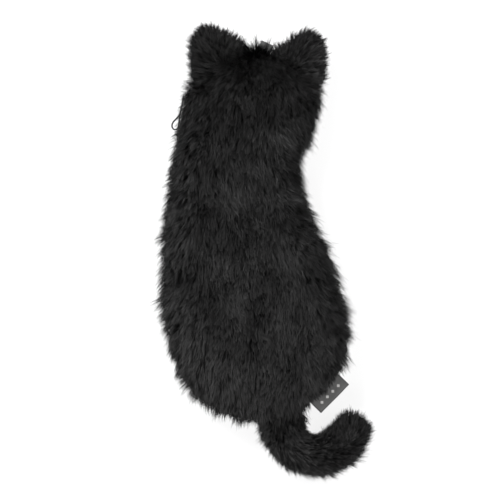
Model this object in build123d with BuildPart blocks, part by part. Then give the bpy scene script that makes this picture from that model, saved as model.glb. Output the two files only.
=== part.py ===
from build123d import *
import os
from math import cos, pi, radians, sin, tan

# A long-pile plush cat that lies on its reverse side: +Y runs from the tail to the ears, +X to the
# side where the tail curls, +Z up.  The origin is the middle of the face it lies on.  Millimetres.
# Fabric solids end at the dense part of the pile; the loose hair tips stand about 3 mm further out.

os.makedirs("parts", exist_ok=True)

# ---- torso cover -------------------------------------------------------------------------------
bodyThick = 46.0            # stuffed thickness of head and body
seamZ = bodyThick / 2       # height of the side seam that joins the two panels
edgeRound = 19.0            # rounding of the stuffed edge, seen in section
coverThick = 2.2            # knitted backing and dense pile roots of the fur fabric
cushionInset = 4.8          # cushion case inside the cover, clear of the zip's inner plate
caseThick = 0.8             # nonwoven case of the cushion
fillInset = cushionInset + caseThick + 0.3

# The zip side is one long arc; the slider travels along it, so the arc's centre is its pivot.
zipRadius = 700.0
zipCentre = Vector(624.25, -32.0)
zipSideSpan = (-0.655, 12.95)        # angles of that arc that the outline keeps
earLineLeft = (Vector(-57.5, 126.0), Vector(-16.0, 150.0))      # head seam under the left ear
earLineRight = (Vector(7.0, 148.5), Vector(40.5, 124.3))        # head seam under the right ear
headCornerRound = 20.0
# tangent arcs from the zip's low end round the belly and up to the right cheek
bellyToCheek = [
    (-62.0, -93.5), (-12.0, -124.5), (45.0, -101.5), (58.5, -58.0), (48.5, -16.0),
    (31.5, 28.0), (22.5, 63.0), (29.5, 90.0), (38.2, 112.0),
]
cheekRun = 12.5             # straight run from the cheek up to the corner under the right ear

# ---- ears --------------------------------------------------------------------------------------
seamStandOff = 3.2          # fold line of an ear, label, tab or tail outside the cover's wall
rootGap = 3.0               # where the stuffed part begins, outside the fold line
earThick = 12.0
earRootHalf = 3.0           # half thickness at the sewn root
earSkin = 1.6
earSeamHalf = 0.9
leftEarOutline = [(2.5, 3), (12.5, 22), (28.5, 33), (40, 22), (47.5, 3)]
rightEarOutline = [(0.5, 3), (7.5, 24.5), (20, 26.5), (31, 14), (40, 3)]
earTipRound = 7.0

# ---- tail --------------------------------------------------------------------------------------
tailCurl = Vector(34.0, -124.2)     # centre of the curl
tailCurlRadius = 29.3
tailRadius = 15.5
tailSkin = 1.8
tailStartAngle = 188.0
tailEndAngle = 337.0
tailFold = Vector(6.4, -126.3)      # a point on the fold line at the tail's root
tailFoldAngle = 11.3                # direction of that line
tailRootHalf = 3.5

# ---- zip ---------------------------------------------------------------------------------------
slotHalf = 3.6              # half the gap between the two panels where the zip is sewn in
slotEndGap = 0.2            # degrees that the gap runs on past the zip's two ends
tapeHalf = 7.0
tapeDepth = (2.5, 3.1)      # depths are measured inwards from the cover's wall
coilDepth = (0.7, 2.5)
coilEdges = (0.5, 2.3)      # one row of coil, measured from the seam
zipLowAngle = 0.6
zipHighAngle = 12.35
stopLength = 0.16           # degrees along the arc
sliderAngle = 11.93         # where the closed slider stands
sliderHalf = 0.36           # half its length, in degrees
barAngle = 12.0             # the pull tab's bar
barDepth = -2.0
barRadius = 0.5
barClear = 0.3
tabLength = 8.0
tabHalfWidth = 2.2
tabThick = 1.0

# ---- trims -------------------------------------------------------------------------------------
labelLength = 30.0
labelReach = 10.3
labelThick = 0.8
labelMiddle = Vector(43.1, -103.4)  # on the cover's wall, at the middle of the label
labelAngle = 45.6                   # direction of the seam there
labelStandOff = 0.6
topTabWidth = 10.0
topTabReach = 9.5
topTabThick = 1.4
topTabFoot = Vector(-2.2, 149.9)
topTabAngle = -3.7

# ---- pull cord ---------------------------------------------------------------------------------
cordDiameter = 1.1
cordSpread = 0.75           # each strand's distance from the seam plane at the tab


def zipPoint(angle, depth):
    """A point of the zip's arc at an angle above the lowest level of the arc, at a depth."""
    reach = zipRadius - depth
    return Vector(zipCentre.X - reach * cos(radians(angle)), zipCentre.Y + reach * sin(radians(angle)))


def torsoSketch(inset):
    """The outline of head and body at the seam, inset by a distance."""
    arcStart = zipPoint(zipSideSpan[0], 0)
    arcEnd = zipPoint(zipSideSpan[1], 0)
    with BuildSketch() as sketch:
        with BuildLine():
            side = ThreePointArc(arcEnd, zipPoint(6, 0), arcStart)
            for point in bellyToCheek:
                side = TangentArc(side @ 1, Vector(*point), tangent=side % 1)
            Polyline(side @ 1, side @ 1 + side % 1 * cheekRun, earLineRight[0], earLineLeft[1], arcEnd)
        make_face()
        if inset:
            offset(amount=-inset, kind=Kind.INTERSECTION, mode=Mode.REPLACE)
    return sketch.sketch


def torsoSolid(inset):
    """The stuffed torso, smaller all over by an inset."""
    with BuildPart() as solid:
        with BuildSketch(Plane.XY.offset(inset)):
            add(torsoSketch(inset))
        extrude(amount=bodyThick - 2 * inset)
        headCorners = solid.edges().filter_by(Axis.Z).filter_by_position(Axis.Y, 118, 160)
        fillet(headCorners, radius=headCornerRound - inset)
        fillet(solid.faces().filter_by(Axis.Z).edges(), radius=edgeRound - inset)
    return solid.part


def zipBand(angles, depths, heights):
    """A curved bar that follows the zip: two angles, two depths, two heights above the seam."""
    stations = (angles[0], sum(angles) / 2, angles[1])
    with BuildPart() as band:
        with BuildSketch(Plane.XY.offset(seamZ + heights[0])):
            with BuildLine():
                outer = ThreePointArc(*[zipPoint(angle, depths[0]) for angle in stations])
                inner = ThreePointArc(*[zipPoint(angle, depths[1]) for angle in stations])
                Line(outer @ 0, inner @ 0)
                Line(outer @ 1, inner @ 1)
            make_face()
        extrude(amount=heights[1] - heights[0])
    return band.part


def finish(part, name):
    part.label = name
    export_step(part, f"parts/{name}.step")


# ---- cover panels and what they hold -----------------------------------------------------------
zipSlot = zipBand(
    (zipLowAngle - slotEndGap, zipHighAngle + slotEndGap),
    (-3.0, cushionInset - 0.3),         # from outside the wall to just short of the cushion
    (-slotHalf, slotHalf),
)

with BuildPart() as back_panel:
    add(torsoSolid(0))
    add(torsoSolid(coverThick), mode=Mode.SUBTRACT)
    add(zipSlot, mode=Mode.SUBTRACT)
    split(bisect_by=Plane.XY.offset(seamZ), keep=Keep.TOP)
finish(back_panel.part, "back_panel")

with BuildPart() as reverse_panel:
    add(torsoSolid(0))
    add(torsoSolid(coverThick), mode=Mode.SUBTRACT)
    add(zipSlot, mode=Mode.SUBTRACT)
    split(bisect_by=Plane.XY.offset(seamZ), keep=Keep.BOTTOM)
finish(reverse_panel.part, "reverse_panel")

for caseName, side in [("cushion_case_upper", Keep.TOP), ("cushion_case_lower", Keep.BOTTOM)]:
    with BuildPart() as cushionCase:
        add(torsoSolid(cushionInset))
        add(torsoSolid(cushionInset + caseThick), mode=Mode.SUBTRACT)
        split(bisect_by=Plane.XY.offset(seamZ), keep=side)
    finish(cushionCase.part, caseName)

with BuildPart() as fibre_filling:
    add(torsoSolid(fillInset))
finish(fibre_filling.part, "fibre_filling")


# ---- ears: two fur pieces around a pad, each folding about its root seam -----------------------
def foldPlane(point, angle, height):
    """A plane at a fold line: local x along the line, local y outwards, local z up."""
    along = (cos(radians(angle)), sin(radians(angle)), 0)
    return Plane(origin=(point.X, point.Y, height), x_dir=along, z_dir=(0, 0, 1))


def earSolid(plane, outline, inset):
    """A stuffed ear with a bevelled root, smaller all over by an inset."""
    half = earThick / 2 - inset
    with BuildPart() as ear:
        with BuildSketch(plane.offset(-half)):
            with BuildLine():
                Polyline(*outline, close=True)
            make_face()
            if inset:
                offset(amount=-inset, kind=Kind.INTERSECTION, mode=Mode.REPLACE)
        extrude(amount=2 * half)
        root = ear.faces().sort_by(Axis(plane.origin, plane.y_dir))[0]
        uprights = ear.edges().filter_by(Axis.Z)
        tipCorners = [e for e in uprights if e not in root.edges()]
        fillet(tipCorners, radius=earTipRound - inset)
        root = ear.faces().sort_by(Axis(plane.origin, plane.y_dir))[0]
        chamfer(root.edges().filter_by(Axis.Z, reverse=True), length=half - earRootHalf + inset * 0.6)
        flats = ear.faces().filter_by(Axis.Z)
        rims = [e for e in flats.edges() if abs(e.tangent_at(0.5).dot(plane.x_dir)) < 0.999]
        fillet(rims, radius=half - 1.4)
    return ear.part


def earOrigin(line):
    """The fold line's start, set off outwards from the head seam."""
    along = (line[1] - line[0]).normalized()
    outward = Vector(-along.Y, along.X)
    return line[0] + outward * seamStandOff


def lineAngle(line):
    along = line[1] - line[0]
    return Vector(1, 0, 0).get_signed_angle(along, Vector(0, 0, 1))


ears = [("left_ear", earLineLeft, leftEarOutline), ("right_ear", earLineRight, rightEarOutline)]
for earName, headLine, outline in ears:
    earPlane = foldPlane(earOrigin(headLine), lineAngle(headLine), seamZ)
    for pieceName, side in [("back", Keep.TOP), ("front", Keep.BOTTOM)]:
        with BuildPart() as earPiece:
            add(earSolid(earPlane, outline, 0))
            add(earSolid(earPlane, outline, earSkin), mode=Mode.SUBTRACT)
            split(bisect_by=Plane.XY.offset(seamZ), keep=side)
        finish(earPiece.part, f"{earName}_{pieceName}")
    with BuildPart() as earPad:
        add(earSolid(earPlane, outline, earSkin + 0.4))
    finish(earPad.part, f"{earName}_pad")
    # the sewn allowance that runs from the ear's root into the head seam
    first = outline[0][0] + 4
    last = outline[-1][0] - 4
    with BuildPart() as earSeam:
        with BuildSketch(earPlane.offset(-earSeamHalf)):
            with Locations(((first + last) / 2, (rootGap - seamStandOff + 0.4) / 2)):
                Rectangle(last - first, rootGap + seamStandOff - 0.4)
        extrude(amount=2 * earSeamHalf)
    finish(earSeam.part, f"{earName}_seam")


# ---- tail: two fur pieces around a stuffed core ------------------------------------------------
def tailSolid(inset):
    """The curled tail, smaller all over by an inset, with a bevelled root."""
    radius = tailRadius - inset
    start = radians(tailStartAngle)
    end = radians(tailEndAngle)
    startPoint = tailCurl + Vector(cos(start), sin(start)) * tailCurlRadius
    endPoint = tailCurl + Vector(cos(end), sin(end)) * tailCurlRadius
    section = Plane(
        origin=(startPoint.X, startPoint.Y, tailRadius),
        x_dir=(cos(start), sin(start), 0),
        z_dir=(-sin(start), cos(start), 0),
    )
    curlAxis = Axis((tailCurl.X, tailCurl.Y, 0), (0, 0, 1))
    rootPlane = foldPlane(tailFold, tailFoldAngle, tailRadius)
    rootLine = Plane(origin=rootPlane.origin, x_dir=-rootPlane.y_dir, z_dir=rootPlane.x_dir)
    reach = 80.0
    half = tailRootHalf - inset * 0.4
    with BuildPart() as tail:
        with BuildSketch(section):
            Circle(radius)
        revolve(axis=curlAxis, revolution_arc=tailEndAngle - tailStartAngle)
        with Locations((endPoint.X, endPoint.Y, tailRadius)):
            Sphere(radius)
        with BuildSketch(rootLine.offset(-60)):
            with BuildLine():
                Polyline(
                    (rootGap + inset, -half),
                    (rootGap + inset, half),
                    (rootGap + inset + reach, half + reach),
                    (rootGap + inset + reach, -half - reach),
                    close=True,
                )
            make_face()
        extrude(amount=180, mode=Mode.INTERSECT)
    return tail.part


for pieceName, side in [("tail_upper", Keep.TOP), ("tail_lower", Keep.BOTTOM)]:
    with BuildPart() as tailPiece:
        add(tailSolid(0))
        add(tailSolid(tailSkin), mode=Mode.SUBTRACT)
        split(bisect_by=Plane.XY.offset(tailRadius), keep=side)
    finish(tailPiece.part, pieceName)

with BuildPart() as tail_filling:
    add(tailSolid(tailSkin + 0.4))
finish(tail_filling.part, "tail_filling")

tailPlane = foldPlane(tailFold, tailFoldAngle, tailRadius)
with BuildPart() as tail_seam:
    with BuildSketch(tailPlane.offset(-1)):
        with Locations((0.6, -(rootGap - seamStandOff + 0.4) / 2)):
            Rectangle(22, rootGap + seamStandOff - 0.4)
    extrude(amount=2)
finish(tail_seam.part, "tail_seam")

# ---- zip: tapes, coil rows, stops --------------------------------------------------------------
zipSpan = (zipLowAngle, zipHighAngle)
zipSides = [("zip_tape_upper", "zip_coil_upper", 1), ("zip_tape_lower", "zip_coil_lower", -1)]
for tapeName, coilName, sign in zipSides:
    tapeHeights = sorted([sign * coilEdges[0], sign * tapeHalf])
    coilHeights = sorted([sign * coilEdges[0], sign * coilEdges[1]])
    with BuildPart() as zipTape:
        add(zipBand(zipSpan, tapeDepth, tapeHeights))
    finish(zipTape.part, tapeName)
    with BuildPart() as zipCoil:
        add(zipBand((zipSpan[0] + stopLength, zipSpan[1] - stopLength), coilDepth, coilHeights))
    finish(zipCoil.part, coilName)

with BuildPart() as zip_bottom_stop:
    add(zipBand((zipSpan[0], zipSpan[0] + stopLength), (0.3, tapeDepth[0]), (-2.5, 2.5)))
finish(zip_bottom_stop.part, "zip_bottom_stop")

with BuildPart() as zip_top_stops:
    for heights in [(0.5, 2.5), (-2.5, -0.5)]:
        stopSpan = (zipSpan[1] - stopLength + 0.02, zipSpan[1])
        add(zipBand(stopSpan, (0.3, tapeDepth[0]), heights))
finish(zip_top_stops.part, "zip_top_stops")

# ---- zip slider: two plates joined by a post, with side flanges and a crown ---------------------
sliderSpan = (sliderAngle - sliderHalf, sliderAngle + sliderHalf - 0.1)
postSpan = (sliderSpan[1] - 0.09, sliderSpan[1])
sliderWide = 3.2            # half its width
flangeInner = 2.65
with BuildPart() as zip_slider:
    add(zipBand(sliderSpan, (-0.8, 0.35), (-sliderWide, sliderWide)))
    add(zipBand(sliderSpan, (3.4, 4.3), (-sliderWide, sliderWide)))
    add(zipBand(postSpan, (0.2, 3.6), (-0.3, 0.3)))
    for heights in [(flangeInner, sliderWide), (-sliderWide, -flangeInner)]:
        add(zipBand(sliderSpan, (0.2, 2.1), heights))
finish(zip_slider.part, "zip_slider")

barPoint = zipPoint(barAngle, barDepth)
with BuildPart() as slider_crown:
    add(zipBand((barAngle - 0.19, barAngle + 0.13), (-2.9, -0.8), (-0.9, 0.9)))
    with BuildSketch(Plane(origin=(barPoint.X, barPoint.Y, seamZ - 2))):
        Circle(barRadius + barClear)
    extrude(amount=4, mode=Mode.SUBTRACT)
    rim = slider_crown.edges().filter_by(Axis.Z).sort_by(Axis.X)[0:2]
    fillet(rim, radius=0.5)
finish(slider_crown.part, "slider_crown")

# ---- pull tab: a bar through the crown, two arms and a plate -----------------------------------
tabPlane = Plane(
    origin=(barPoint.X, barPoint.Y, seamZ),
    x_dir=(-sin(radians(barAngle)), -cos(radians(barAngle)), 0),
    z_dir=(0, 0, 1),
)
armWidth = 0.7
with BuildPart() as zip_pull_tab:
    with BuildSketch(tabPlane.offset(-tabHalfWidth)):
        Circle(barRadius)
    extrude(amount=2 * tabHalfWidth)
    for armStart in [-tabHalfWidth, tabHalfWidth - armWidth]:
        with BuildSketch(tabPlane.offset(armStart)):
            with Locations((1.7, 0)):
                Rectangle(3.4, tabThick)
            Circle(tabThick / 2 + 0.2)
        extrude(amount=armWidth)
    with BuildSketch(tabPlane.offset(-tabHalfWidth)):
        with Locations(((4.1 + tabLength) / 2 - 0.5, 0)):
            Rectangle(tabLength - 3.1, tabThick)
    extrude(amount=2 * tabHalfWidth)
finish(zip_pull_tab.part, "zip_pull_tab")

# ---- side label and folded ribbon tab ----------------------------------------------------------
labelPlane = foldPlane(labelMiddle, labelAngle, seamZ)
with BuildPart() as side_label:
    with BuildSketch(labelPlane.offset(-labelThick / 2)) as labelFace:
        with Locations((0, -(labelStandOff + labelReach / 2))):
            Rectangle(labelLength, labelReach)
        fillet(labelFace.vertices(), radius=0.8)
    extrude(amount=labelThick)
finish(side_label.part, "side_label")

topTabPlane = foldPlane(topTabFoot, topTabAngle, seamZ)
with BuildPart() as top_tab:
    with BuildSketch(topTabPlane.offset(-topTabThick / 2)):
        with Locations((0, 0.6 + topTabReach / 2)):
            Rectangle(topTabWidth, topTabReach)
    extrude(amount=topTabThick)
    fillet(top_tab.edges().filter_by(Axis.Z).sort_by(Axis.Y)[-2:], radius=0.8)
finish(top_tab.part, "top_tab")

# ---- pull cord: a loop from the tab's end and back to it ---------------------------------------
cordRoute = [
    (-64.075, 106.11, seamZ + cordSpread),
    (-65.0, 101.8, seamZ + cordSpread),
    (-67.3, 98.4, seamZ + 1.2),
    (-70.4, 95.6, seamZ + 1.1),
    (-71.3, 92.0, seamZ + 0.6),
    (-68.9, 89.6, seamZ),
    (-66.3, 91.4, seamZ - 0.6),
    (-65.9, 95.6, seamZ - 1.0),
    (-65.14, 101.1, seamZ - cordSpread),
    (-64.075, 106.11, seamZ - cordSpread),
]


def tubeRadii(route):
    """The arc at each inner point: 0.45 of the shorter run over the tangent of half the turn."""
    radii = []
    for before, here, after in zip(route, route[1:], route[2:]):
        runIn = Vector(*here) - Vector(*before)
        runOut = Vector(*after) - Vector(*here)
        halfTurn = radians(runIn.get_angle(runOut)) / 2
        radii.append(0.45 * min(runIn.length, runOut.length) / tan(halfTurn))
    return radii


cordRadii = tubeRadii(cordRoute)
with BuildPart() as pull_cord:
    with BuildLine() as cordPath:
        FilletPolyline(*[Vector(*p) for p in cordRoute], radius=cordRadii)
    with BuildSketch(Plane(origin=cordPath.line @ 0, z_dir=cordPath.line % 0)):
        Circle(cordDiameter / 2)
    sweep(path=cordPath.line)
finish(pull_cord.part, "pull_cord")

cordLength = cordPath.wire().length
cordSection = pi * (cordDiameter / 2) ** 2
volumeRatio = pull_cord.part.volume / (cordLength * cordSection)
print("cord radii mm", [round(r, 1) for r in cordRadii])
print("cord length mm", round(cordLength, 2), "volume ratio", round(volumeRatio, 4))
print("zip centre", zipCentre, "bar", barPoint, "tab end", tabPlane.from_local_coords((tabLength, 0, 0)))
for earName, headLine, outline in ears:
    print(earName, "fold", earOrigin(headLine), "angle", round(lineAngle(headLine), 3))
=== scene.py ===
from math import atan2, cos, degrees, pi, radians, sin

import bmesh
import bpy
from mathutils import Matrix, Vector, noise


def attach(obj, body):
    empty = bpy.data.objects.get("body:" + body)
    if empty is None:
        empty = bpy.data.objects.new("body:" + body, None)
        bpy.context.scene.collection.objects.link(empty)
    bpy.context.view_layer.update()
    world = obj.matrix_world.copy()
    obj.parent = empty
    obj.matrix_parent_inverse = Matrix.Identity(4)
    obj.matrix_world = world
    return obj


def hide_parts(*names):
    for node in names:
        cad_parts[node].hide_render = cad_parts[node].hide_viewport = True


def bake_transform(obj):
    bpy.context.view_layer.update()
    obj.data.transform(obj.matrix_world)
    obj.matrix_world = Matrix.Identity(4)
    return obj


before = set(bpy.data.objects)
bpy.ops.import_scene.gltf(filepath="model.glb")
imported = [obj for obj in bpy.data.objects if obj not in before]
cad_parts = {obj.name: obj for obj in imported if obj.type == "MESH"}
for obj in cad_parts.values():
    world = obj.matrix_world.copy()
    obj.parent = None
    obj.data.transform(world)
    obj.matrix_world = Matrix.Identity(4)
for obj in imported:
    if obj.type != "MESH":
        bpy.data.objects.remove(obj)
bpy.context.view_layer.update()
seamHeight = 0.023          # the side seam between back and reverse panel
print("frame loaded")


# camera

shot = {"centre": (-0.0127, 0.0002), "height": 1.18, "width": 0.3745, "surface": 0.02}


def setCamera():
    camera = bpy.data.objects.new("camera", bpy.data.cameras.new("camera"))
    bpy.context.collection.objects.link(camera)
    camera.location = (shot["centre"][0], shot["centre"][1], shot["height"])
    camera.data.sensor_width = 36.0
    camera.data.lens = 36.0 * (shot["height"] - shot["surface"]) / shot["width"]
    camera.data.clip_end = 20
    bpy.context.scene.camera = camera


setCamera()


# pull cord: one loop out of the tab's end and back to it

pullCord = {
    "diameter": 0.0011, "length": 0.0368,
    "route": [
        (-0.064075, 0.10611, 0.02375), (-0.0650, 0.1018, 0.02375), (-0.0673, 0.0984, 0.0242),
        (-0.0704, 0.0956, 0.0241), (-0.0713, 0.0920, 0.0236), (-0.0689, 0.0896, 0.0230),
        (-0.0663, 0.0914, 0.0224), (-0.0659, 0.0956, 0.0220), (-0.06514, 0.1011, 0.02225),
        (-0.064075, 0.10611, 0.02225),
    ],
}


def makePullCord():
    curve = bpy.data.curves.new("pullCordLine", "CURVE")
    curve.dimensions = "3D"
    spline = curve.splines.new("NURBS")
    spline.points.add(len(pullCord["route"]) - 1)
    for point, place in zip(spline.points, pullCord["route"]):
        point.co = place + (1.0,)
    spline.order_u = 3
    spline.use_endpoint_u = True
    curve.resolution_u = 12
    line = bpy.data.objects.new("pullCordLine", curve)
    bare = bpy.data.meshes.new_from_object(line)
    bpy.data.meshes.remove(bare)
    curve.bevel_depth = pullCord["diameter"] / 2
    curve.bevel_resolution = 4
    curve.use_fill_caps = True
    piece = bpy.data.objects.new("pullCord", bpy.data.meshes.new_from_object(line))
    bpy.context.collection.objects.link(piece)
    for polygon in piece.data.polygons:
        polygon.use_smooth = True
    bpy.data.objects.remove(line)
    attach(piece, "pull")
    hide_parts("pull_cord")
    return piece


cordPiece = makePullCord()
print("cord ready")


# small helpers

swaySeed = 5
noise.seed_set(swaySeed)  # without a seed the sway of the pile would start from the clock

def meshObject(name, bm):
    mesh = bpy.data.meshes.new(name)
    bm.to_mesh(mesh)
    bm.free()
    piece = bpy.data.objects.new(name, mesh)
    bpy.context.collection.objects.link(piece)
    return piece


def smooth(piece):
    for polygon in piece.data.polygons:
        polygon.use_smooth = True


def applyModifiers(piece):
    bpy.context.view_layer.update()
    graph = bpy.context.evaluated_depsgraph_get()
    evaluated = piece.evaluated_get(graph)
    mesh = bpy.data.meshes.new_from_object(evaluated, preserve_all_data_layers=True, depsgraph=graph)
    old = piece.data
    piece.modifiers.clear()
    piece.data = mesh
    bpy.data.meshes.remove(old)
    mesh.name = piece.name


def reshape(piece, change):
    # change(place, normal) gives a vertex's new place
    bm = bmesh.new()
    bm.from_mesh(piece.data)
    bm.normal_update()
    for vertex in bm.verts:
        vertex.co = change(vertex.co.copy(), vertex.normal)
    bm.normal_update()
    bm.to_mesh(piece.data)
    bm.free()
    piece.data.update()


def soften(piece, turns):
    bm = bmesh.new()
    bm.from_mesh(piece.data)
    for turn in range(turns):
        bmesh.ops.smooth_vert(bm, verts=bm.verts, factor=0.5, use_axis_x=True, use_axis_y=True, use_axis_z=True)
    bm.to_mesh(piece.data)
    bm.free()


def subdivide(piece):
    modifier = piece.modifiers.new("finer", "SUBSURF")
    modifier.levels = 1
    modifier.render_levels = 1
    applyModifiers(piece)


def shrunkCopy(piece, name, shrink):
    made = bpy.data.objects.new(name, piece.data.copy())
    bpy.context.collection.objects.link(made)
    reshape(made, lambda place, normal: place - normal * shrink)
    return made


def halfOf(piece, name, level, upper):
    half = bpy.data.objects.new(name, piece.data.copy())
    bpy.context.collection.objects.link(half)
    bm = bmesh.new()
    bm.from_mesh(half.data)
    bmesh.ops.bisect_plane(bm, geom=bm.verts[:] + bm.edges[:] + bm.faces[:], dist=1e-7,
                           plane_co=(0, 0, level), plane_no=(0, 0, 1 if upper else -1), clear_inner=True)
    bm.to_mesh(half.data)
    bm.free()
    return half


def ease(value, low, high):
    # 0 below low, 1 above high, and smooth between them
    share = min(1.0, max(0.0, (value - low) / (high - low)))
    return share * share * (3 - 2 * share)


def wire(tree, start, end):
    tree.links.new(start, end)


def addNode(tree, kind, values=None, **options):
    made = tree.nodes.new(kind)
    for key, value in options.items():
        setattr(made, key, value)
    for key, value in (values or {}).items():
        made.inputs[key].default_value = value
    return made


def mathNode(tree, operation, first, second=0.0):
    made = addNode(tree, "ShaderNodeMath", operation=operation)
    for index, value in enumerate((first, second)):
        if isinstance(value, (int, float)):
            made.inputs[index].default_value = value
        else:
            wire(tree, value, made.inputs[index])
    return made.outputs[0]


def timesNode(tree, first, second):
    return mathNode(tree, "MULTIPLY", first, second)


# materials

def newMaterial(name, colour, roughness):
    material = bpy.data.materials.new(name)
    material.use_nodes = True
    shader = material.node_tree.nodes["Principled BSDF"]
    shader.inputs["Base Color"].default_value = colour + (1.0,)
    shader.inputs["Roughness"].default_value = roughness
    return material, material.node_tree, shader


def colourRamp(tree, stops, factor):
    ramp = tree.nodes.new("ShaderNodeValToRGB")
    elements = ramp.color_ramp.elements
    while len(elements) < len(stops):
        elements.new(0.5)
    for element, (place, colour) in zip(elements, stops):
        element.position = place
        element.color = colour + (1.0,)
    wire(tree, factor, ramp.inputs["Fac"])
    return ramp.outputs["Color"]


def objectPlace(tree):
    return addNode(tree, "ShaderNodeTexCoord").outputs["Object"]


def localPlace(tree, origin, angle):
    # coordinates in a small trim's own frame, in metres
    mapping = addNode(tree, "ShaderNodeMapping", {
        "Location": origin, "Rotation": (0.0, 0.0, radians(angle))}, vector_type="TEXTURE")
    wire(tree, objectPlace(tree), mapping.inputs["Vector"])
    return mapping.outputs["Vector"]


def noiseNode(tree, place, scale, detail=3.0):
    made = addNode(tree, "ShaderNodeTexNoise", {"Scale": scale, "Detail": detail})
    wire(tree, place, made.inputs["Vector"])
    return made.outputs["Fac"]


def waveNode(tree, place, scale, direction, distortion=0.0):
    made = addNode(tree, "ShaderNodeTexWave", {"Scale": scale, "Distortion": distortion, "Detail Scale": 2.0},
                   wave_type="BANDS", bands_direction=direction)
    wire(tree, place, made.inputs["Vector"])
    return made.outputs["Fac"]


def addBump(tree, shader, height, distance, strength):
    bump = addNode(tree, "ShaderNodeBump", {"Distance": distance, "Strength": strength})
    wire(tree, height, bump.inputs["Height"])
    wire(tree, bump.outputs["Normal"], shader.inputs["Normal"])


def makeFloorMaterial():
    material, tree, shader = newMaterial("paleFloor", studio["floor"], 0.7)
    # the floor glows a little, as a light table does, so that contact shadows stay pale
    shader.inputs["Base Color"].default_value = (studio["floorBase"],) * 3 + (1.0,)
    shader.inputs["Emission Color"].default_value = studio["floor"] + (1.0,)
    shader.inputs["Emission Strength"].default_value = studio["floorGlow"]
    return material


knitFinish = {"low": (0.0042, 0.0041, 0.0041), "high": (0.0125, 0.0122, 0.0122), "stitch": 420.0}


def makeKnitMaterial():
    material, tree, shader = newMaterial("blackKnit", knitFinish["high"], 0.92)
    place = objectPlace(tree)
    wales = waveNode(tree, place, knitFinish["stitch"], "X", 1.2)
    courses = waveNode(tree, place, knitFinish["stitch"] * 0.8, "Y", 1.2)
    stitches = timesNode(tree, wales, courses)
    mottle = mathNode(tree, "ADD", timesNode(tree, stitches, 0.6),
                      timesNode(tree, noiseNode(tree, place, 120.0), 0.5))
    wire(tree, colourRamp(tree, [(0.1, knitFinish["low"]), (0.8, knitFinish["high"])], mottle),
         shader.inputs["Base Color"])
    addBump(tree, shader, stitches, 0.0003, 0.6)
    return material


cushionFinish = {"case": (0.74, 0.73, 0.70), "caseDark": (0.60, 0.59, 0.56), "dots": 520.0,
                 "fibre": (0.86, 0.85, 0.82), "fibreDark": (0.66, 0.65, 0.62)}


def makeCaseMaterial():
    material, tree, shader = newMaterial("nonwovenCloth", cushionFinish["case"], 0.85)
    place = objectPlace(tree)
    dots = addNode(tree, "ShaderNodeTexVoronoi", {"Scale": cushionFinish["dots"], "Randomness": 0.15})
    wire(tree, place, dots.inputs["Vector"])
    both = mathNode(tree, "ADD", dots.outputs["Distance"],
                    timesNode(tree, noiseNode(tree, place, 900.0), 0.4))
    wire(tree, colourRamp(tree, [(0.15, cushionFinish["caseDark"]), (0.6, cushionFinish["case"])], both),
         shader.inputs["Base Color"])
    addBump(tree, shader, dots.outputs["Distance"], 0.0002, 0.5)
    return material


def makeFibreMaterial():
    material, tree, shader = newMaterial("polyesterFibre", cushionFinish["fibre"], 0.7)
    place = objectPlace(tree)
    tangle = waveNode(tree, place, 260.0, "DIAGONAL", 9.0)
    both = timesNode(tree, tangle, noiseNode(tree, place, 180.0, 6.0))
    wire(tree, colourRamp(tree, [(0.05, cushionFinish["fibreDark"]), (0.5, cushionFinish["fibre"])], both),
         shader.inputs["Base Color"])
    addBump(tree, shader, both, 0.0012, 0.7)
    return material


zipFinish = {"tapeLow": (0.006, 0.006, 0.0062), "tapeHigh": (0.026, 0.026, 0.027), "weave": 640.0,
             "nylonLow": (0.008, 0.008, 0.0085), "nylonHigh": (0.022, 0.022, 0.023),
             "enamelLow": (0.010, 0.010, 0.0105), "enamelHigh": (0.034, 0.034, 0.035)}


def makeTapeMaterial():
    material, tree, shader = newMaterial("zipTapeWeave", zipFinish["tapeHigh"], 0.82)
    place = objectPlace(tree)
    ribs = waveNode(tree, place, zipFinish["weave"], "Z", 0.3)
    picks = waveNode(tree, place, zipFinish["weave"] * 0.7, "Y", 0.3)
    weave = mathNode(tree, "MAXIMUM", timesNode(tree, ribs, 0.8), picks)
    wire(tree, colourRamp(tree, [(0.1, zipFinish["tapeLow"]), (0.9, zipFinish["tapeHigh"])], weave),
         shader.inputs["Base Color"])
    addBump(tree, shader, weave, 0.00012, 0.7)
    return material


def makeNylonMaterial():
    material, tree, shader = newMaterial("zipNylon", zipFinish["nylonHigh"], 0.33)
    place = objectPlace(tree)
    streaks = noiseNode(tree, place, 700.0, 2.0)
    wire(tree, colourRamp(tree, [(0.3, zipFinish["nylonLow"]), (0.7, zipFinish["nylonHigh"])], streaks),
         shader.inputs["Base Color"])
    addBump(tree, shader, streaks, 0.00004, 0.3)
    return material


def makeEnamelMaterial():
    material, tree, shader = newMaterial("blackEnamel", zipFinish["enamelLow"], 0.34)
    shader.inputs["Coat Weight"].default_value = 0.35
    shader.inputs["Coat Roughness"].default_value = 0.22
    place = objectPlace(tree)
    scuffs = noiseNode(tree, place, 1500.0, 6.0)
    wire(tree, colourRamp(tree, [(0.45, zipFinish["enamelLow"]), (0.72, zipFinish["enamelHigh"])], scuffs),
         shader.inputs["Base Color"])
    rough = addNode(tree, "ShaderNodeMapRange", {"To Min": 0.26, "To Max": 0.46})
    wire(tree, scuffs, rough.inputs["Value"])
    wire(tree, rough.outputs["Result"], shader.inputs["Roughness"])
    addBump(tree, shader, noiseNode(tree, place, 420.0), 0.00004, 0.35)
    return material


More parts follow.
